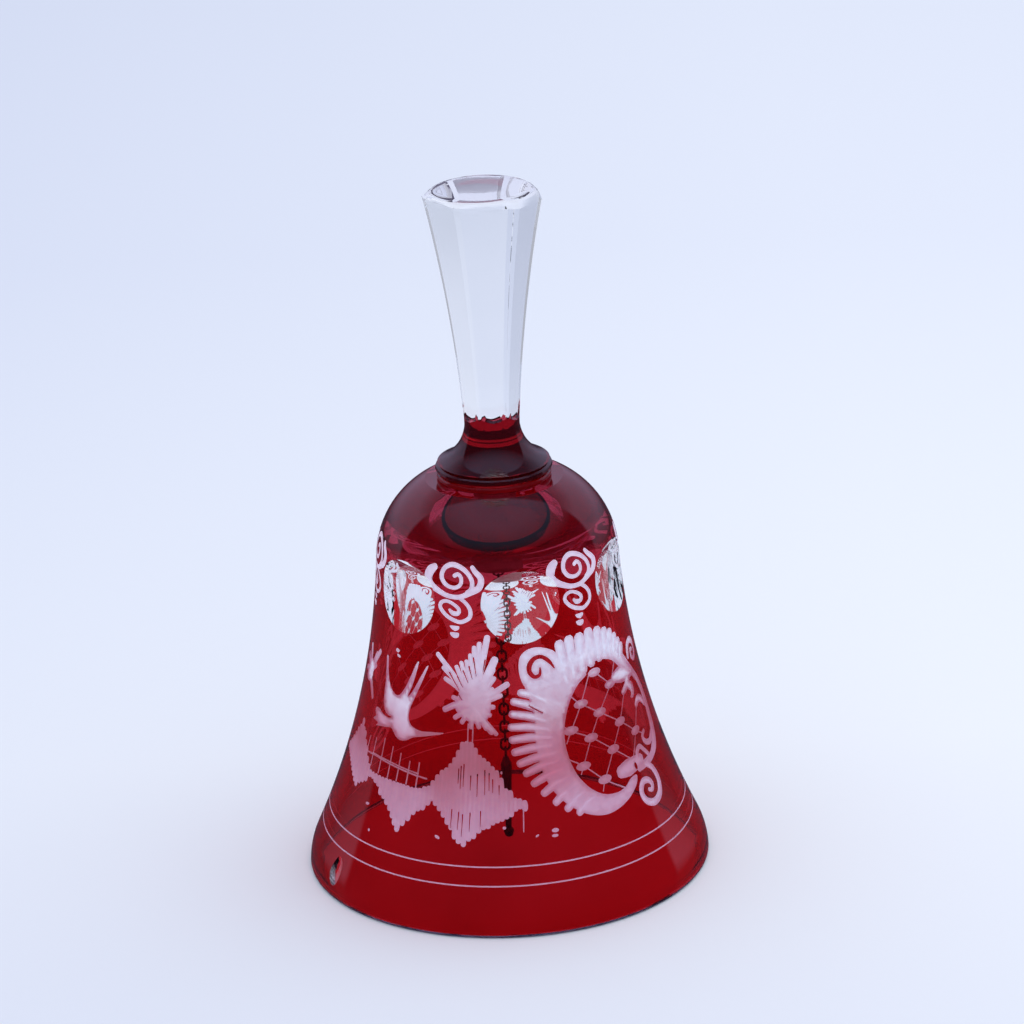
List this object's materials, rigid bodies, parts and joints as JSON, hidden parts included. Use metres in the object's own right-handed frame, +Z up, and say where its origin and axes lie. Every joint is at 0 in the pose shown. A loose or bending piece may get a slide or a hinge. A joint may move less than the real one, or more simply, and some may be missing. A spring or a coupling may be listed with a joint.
{
  "type": "hand bell",
  "caption": "Ruby-stained glass hand bell with round lens cuts, an engraved garden frieze, a clear six-sided handle and a slim clapper hung inside on a fine cable chain.",
  "frame": {"origin": "centre of the rim circle, on the surface that the bell stands on", "axes": "+Z up along the bell's axis towards the handle, -Y towards the front of the engraving"},
  "size_m": [0.084, 0.084, 0.1455],
  "materials": {
    "ruby_glass": "clear glass with a ruby stain on its outer skin, polished",
    "clear_glass": "colourless, hand-cut and polished",
    "cement": "dark set cement",
    "wire": "dark drawn wire, lightly tarnished",
    "clapper_metal": "turned, darkened with handling"
  },
  "bodies": {
    "bell": {"bell_cup": "ruby_glass", "stem_disc": "ruby_glass", "handle": "clear_glass", "cement_bead": "cement", "chain_staple": "wire"},
    "chain_link_01": {"chain_link_01": "wire"},
    "chain_link_02": {"chain_link_02": "wire"},
    "chain_link_03": {"chain_link_03": "wire"},
    "chain_link_04": {"chain_link_04": "wire"},
    "chain_link_05": {"chain_link_05": "wire"},
    "chain_link_06": {"chain_link_06": "wire"},
    "chain_link_07": {"chain_link_07": "wire"},
    "chain_link_08": {"chain_link_08": "wire"},
    "chain_link_09": {"chain_link_09": "wire"},
    "chain_link_10": {"chain_link_10": "wire"},
    "chain_link_11": {"chain_link_11": "wire"},
    "chain_link_12": {"chain_link_12": "wire"},
    "chain_link_13": {"chain_link_13": "wire"},
    "chain_link_14": {"chain_link_14": "wire"},
    "chain_link_15": {"chain_link_15": "wire"},
    "chain_link_16": {"chain_link_16": "wire"},
    "chain_link_17": {"chain_link_17": "wire"},
    "chain_link_18": {"chain_link_18": "wire"},
    "chain_link_19": {"chain_link_19": "wire"},
    "chain_link_20": {"chain_link_20": "wire"},
    "chain_link_21": {"chain_link_21": "wire"},
    "chain_link_22": {"chain_link_22": "wire"},
    "clapper": {"clapper": "clapper_metal", "clapper_eye": "wire"}
  },
  "joints": [
    {"name": "link_01_swing", "type": "hinge", "parent": "bell", "child": "chain_link_01", "pos_m": [0, 0, 0.0675], "axis": [1, 0, 0], "range_deg": [-30, 30]},
    {"name": "link_02_swing", "type": "hinge", "parent": "chain_link_01", "child": "chain_link_02", "pos_m": [0, 0, 0.0655], "axis": [0, 1, 0], "range_deg": [-31, 31]},
    {"name": "link_03_swing", "type": "hinge", "parent": "chain_link_02", "child": "chain_link_03", "pos_m": [0, 0, 0.0635], "axis": [-1, 0, 0], "range_deg": [-32.2, 32.2]},
    {"name": "link_04_swing", "type": "hinge", "parent": "chain_link_03", "child": "chain_link_04", "pos_m": [0, 0, 0.0615], "axis": [0, -1, 0], "range_deg": [-33.2, 33.2]},
    {"name": "link_05_swing", "type": "hinge", "parent": "chain_link_04", "child": "chain_link_05", "pos_m": [0, 0, 0.0595], "axis": [1, 0, 0], "range_deg": [-34.4, 34.4]},
    {"name": "link_06_swing", "type": "hinge", "parent": "chain_link_05", "child": "chain_link_06", "pos_m": [0, 0, 0.0575], "axis": [0, 1, 0], "range_deg": [-36, 36]},
    {"name": "link_07_swing", "type": "hinge", "parent": "chain_link_06", "child": "chain_link_07", "pos_m": [0, 0, 0.0555], "axis": [-1, 0, 0], "range_deg": [-37.4, 37.4]},
    {"name": "link_08_swing", "type": "hinge", "parent": "chain_link_07", "child": "chain_link_08", "pos_m": [0, 0, 0.0535], "axis": [0, -1, 0], "range_deg": [-39, 39]},
    {"name": "link_09_swing", "type": "hinge", "parent": "chain_link_08", "child": "chain_link_09", "pos_m": [0, 0, 0.0515], "axis": [1, 0, 0], "range_deg": [-41, 41]},
    {"name": "link_10_swing", "type": "hinge", "parent": "chain_link_09", "child": "chain_link_10", "pos_m": [0, 0, 0.0495], "axis": [0, 1, 0], "range_deg": [-42.7, 42.7]},
    {"name": "link_11_swing", "type": "hinge", "parent": "chain_link_10", "child": "chain_link_11", "pos_m": [0, 0, 0.0475], "axis": [-1, 0, 0], "range_deg": [-45, 45]},
    {"name": "link_12_swing", "type": "hinge", "parent": "chain_link_11", "child": "chain_link_12", "pos_m": [0, 0, 0.0455], "axis": [0, -1, 0], "range_deg": [-47.4, 47.4]},
    {"name": "link_13_swing", "type": "hinge", "parent": "chain_link_12", "child": "chain_link_13", "pos_m": [0, 0, 0.0435], "axis": [1, 0, 0], "range_deg": [-50.2, 50.2]},
    {"name": "link_14_swing", "type": "hinge", "parent": "chain_link_13", "child": "chain_link_14", "pos_m": [0, 0, 0.0415], "axis": [0, 1, 0], "range_deg": [-53.4, 53.4]},
    {"name": "link_15_swing", "type": "hinge", "parent": "chain_link_14", "child": "chain_link_15", "pos_m": [0, 0, 0.0395], "axis": [-1, 0, 0], "range_deg": [-57, 57]},
    {"name": "link_16_swing", "type": "hinge", "parent": "chain_link_15", "child": "chain_link_16", "pos_m": [0, 0, 0.0375], "axis": [0, -1, 0], "range_deg": [-60, 60]},
    {"name": "link_17_swing", "type": "hinge", "parent": "chain_link_16", "child": "chain_link_17", "pos_m": [0, 0, 0.0355], "axis": [1, 0, 0], "range_deg": [-60, 60]},
    {"name": "link_18_swing", "type": "hinge", "parent": "chain_link_17", "child": "chain_link_18", "pos_m": [0, 0, 0.0335], "axis": [0, 1, 0], "range_deg": [-60, 60]},
    {"name": "link_19_swing", "type": "hinge", "parent": "chain_link_18", "child": "chain_link_19", "pos_m": [0, 0, 0.0315], "axis": [-1, 0, 0], "range_deg": [-60, 60]},
    {"name": "link_20_swing", "type": "hinge", "parent": "chain_link_19", "child": "chain_link_20", "pos_m": [0, 0, 0.0295], "axis": [0, -1, 0], "range_deg": [-60, 60]},
    {"name": "link_21_swing", "type": "hinge", "parent": "chain_link_20", "child": "chain_link_21", "pos_m": [0, 0, 0.0275], "axis": [1, 0, 0], "range_deg": [-60, 60]},
    {"name": "link_22_swing", "type": "hinge", "parent": "chain_link_21", "child": "chain_link_22", "pos_m": [0, 0, 0.0255], "axis": [0, 1, 0], "range_deg": [-60, 60]},
    {"name": "clapper_swing", "type": "hinge", "parent": "chain_link_22", "child": "clapper", "pos_m": [0, 0, 0.0235], "axis": [-1, 0, 0], "range_deg": [-60, 60]}
  ]
}
